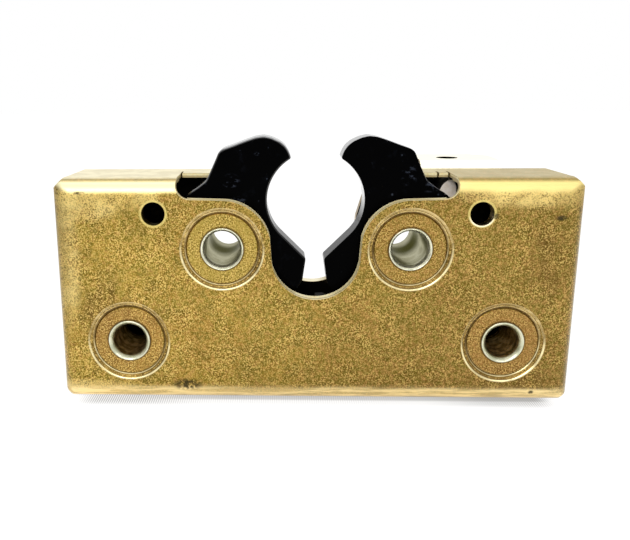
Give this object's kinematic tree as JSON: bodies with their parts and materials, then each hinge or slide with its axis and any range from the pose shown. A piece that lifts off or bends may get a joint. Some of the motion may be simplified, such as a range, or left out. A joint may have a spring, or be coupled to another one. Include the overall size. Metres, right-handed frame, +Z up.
{
  "type": "dual rotor latch",
  "caption": "Folded-steel latch whose paired rotors close around a round striker; pawls hold them shut and a rear lever with a holed ear lets them open.",
  "frame": {"origin": "middle of the overall box, at the height of the flat underside of the housing", "axes": "+X across the housing to the viewer's right, +Y from the front face to the back, +Z up through the striker mouth"},
  "size_m": [0.1142, 0.0362, 0.0593],
  "materials": {
    "housing_zinc": "yellow zinc plate, mottled gold",
    "back_plate_zinc": "yellow zinc plate",
    "lever_zinc": "yellow zinc plate, pale",
    "stud_zinc": "clear zinc plate",
    "rotor_left_black": "glossy black oxide and oil",
    "rotor_right_black": "glossy black oxide and oil",
    "pawl_left_black": "black oxide",
    "pawl_right_black": "black oxide",
    "rotor_bushing_left_zinc": "pale zinc plate",
    "rotor_spacer_left_zinc": "pale zinc plate",
    "rotor_spring_left_wire": "spring wire",
    "rotor_spring_pin_left_zinc": "pale zinc plate",
    "pawl_bushing_left_zinc": "pale zinc plate",
    "pawl_spacer_left_zinc": "pale zinc plate",
    "pawl_spring_left_wire": "spring wire",
    "pawl_spring_pin_left_zinc": "pale zinc plate",
    "rotor_bushing_right_zinc": "pale zinc plate",
    "rotor_spacer_right_zinc": "pale zinc plate",
    "rotor_spring_right_wire": "spring wire",
    "rotor_spring_pin_right_zinc": "pale zinc plate",
    "pawl_bushing_right_zinc": "pale zinc plate",
    "pawl_spacer_right_zinc": "pale zinc plate",
    "pawl_spring_right_wire": "spring wire",
    "pawl_spring_pin_right_zinc": "pale zinc plate"
  },
  "bodies": {
    "housing": {"front_housing": "housing_zinc", "back_plate": "back_plate_zinc", "rotor_bushing_left": "rotor_bushing_left_zinc", "rotor_spacer_left": "rotor_spacer_left_zinc", "rotor_spring_left": "rotor_spring_left_wire", "rotor_spring_pin_left": "rotor_spring_pin_left_zinc", "pawl_bushing_left": "pawl_bushing_left_zinc", "pawl_spacer_left": "pawl_spacer_left_zinc", "pawl_spring_left": "pawl_spring_left_wire", "pawl_spring_pin_left": "pawl_spring_pin_left_zinc", "rotor_bushing_right": "rotor_bushing_right_zinc", "rotor_spacer_right": "rotor_spacer_right_zinc", "rotor_spring_right": "rotor_spring_right_wire", "rotor_spring_pin_right": "rotor_spring_pin_right_zinc", "pawl_bushing_right": "pawl_bushing_right_zinc", "pawl_spacer_right": "pawl_spacer_right_zinc", "pawl_spring_right": "pawl_spring_right_wire", "pawl_spring_pin_right": "pawl_spring_pin_right_zinc"},
    "rotor_left": {"rotor_left": "rotor_left_black"},
    "rotor_right": {"rotor_right": "rotor_right_black"},
    "pawl_left": {"pawl_left": "pawl_left_black"},
    "pawl_right": {"pawl_right": "pawl_right_black"},
    "lever": {"release_lever": "lever_zinc", "lever_drive_stud": "stud_zinc"}
  },
  "joints": [
    {"name": "lever_pivot", "type": "hinge", "parent": "housing", "child": "lever", "pos_m": [0.0414, -0.0181, 0.0143], "axis": [0, -1, 0], "range_deg": [0, 10], "stiffness_Nm_per_rad": 0.4},
    {"name": "pawl_right_pivot", "type": "hinge", "parent": "housing", "child": "pawl_right", "pos_m": [0.0414, -0.0181, 0.0143], "axis": [0, -1, 0], "range_deg": [0, 10]},
    {"name": "pawl_left_pivot", "type": "hinge", "parent": "housing", "child": "pawl_left", "pos_m": [-0.0414, -0.0181, 0.0143], "axis": [0, 1, 0], "range_deg": [0, 10]},
    {"name": "rotor_left_pivot", "type": "hinge", "parent": "housing", "child": "rotor_left", "pos_m": [-0.0203, -0.0181, 0.0353], "axis": [0, -1, 0], "range_deg": [0, 24]},
    {"name": "rotor_right_pivot", "type": "hinge", "parent": "housing", "child": "rotor_right", "pos_m": [0.0203, -0.0181, 0.0353], "axis": [0, 1, 0], "range_deg": [0, 24]}
  ],
  "couplings": [
    {"joint": "pawl_right_pivot", "follows": "lever_pivot", "ratio": 1},
    {"joint": "pawl_left_pivot", "follows": "lever_pivot", "ratio": 1},
    {"joint": "rotor_left_pivot", "follows": "lever_pivot", "ratio": 2.4},
    {"joint": "rotor_right_pivot", "follows": "lever_pivot", "ratio": 2.4}
  ]
}
